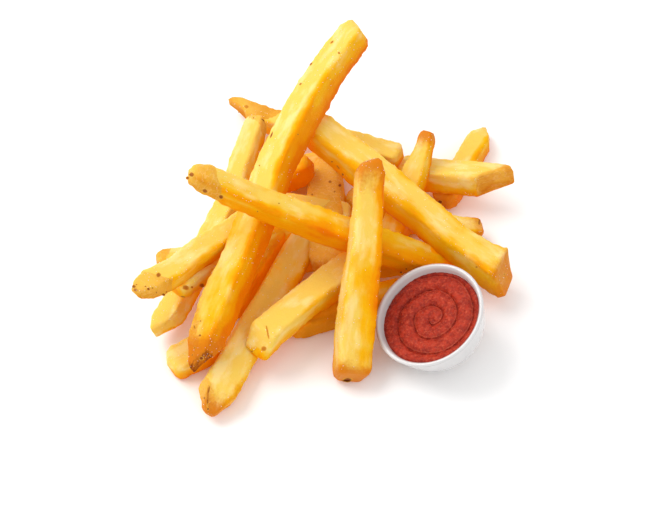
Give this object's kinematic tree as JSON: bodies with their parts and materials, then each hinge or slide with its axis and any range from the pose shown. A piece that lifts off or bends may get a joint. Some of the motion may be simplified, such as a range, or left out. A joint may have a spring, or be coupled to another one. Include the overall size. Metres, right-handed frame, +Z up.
{
  "type": "heap of french fries with a pot of dip",
  "caption": "Loose heap of thick-cut french fries lying across each other, with a small white pot of tomato dip tilted in its edge.",
  "frame": {"origin": "middle of the heap's box in plan, on the surface that it lies on", "axes": "+Z up, +Y away from the viewer of the picture, +X to the viewer's right"},
  "size_m": [0.1491, 0.1527, 0.0698],
  "materials": {
    "fried_potato": "pale golden fried potato with toasted edges, tan skin ends and fine salt",
    "white_glaze": "smooth glossy white glaze",
    "tomato_dip": "thick deep red tomato dip, finely grained and half gloss"
  },
  "bodies": {
    "root": {"fries": "fried_potato", "pot": "white_glaze", "ketchup": "tomato_dip"}
  },
  "joints": []
}
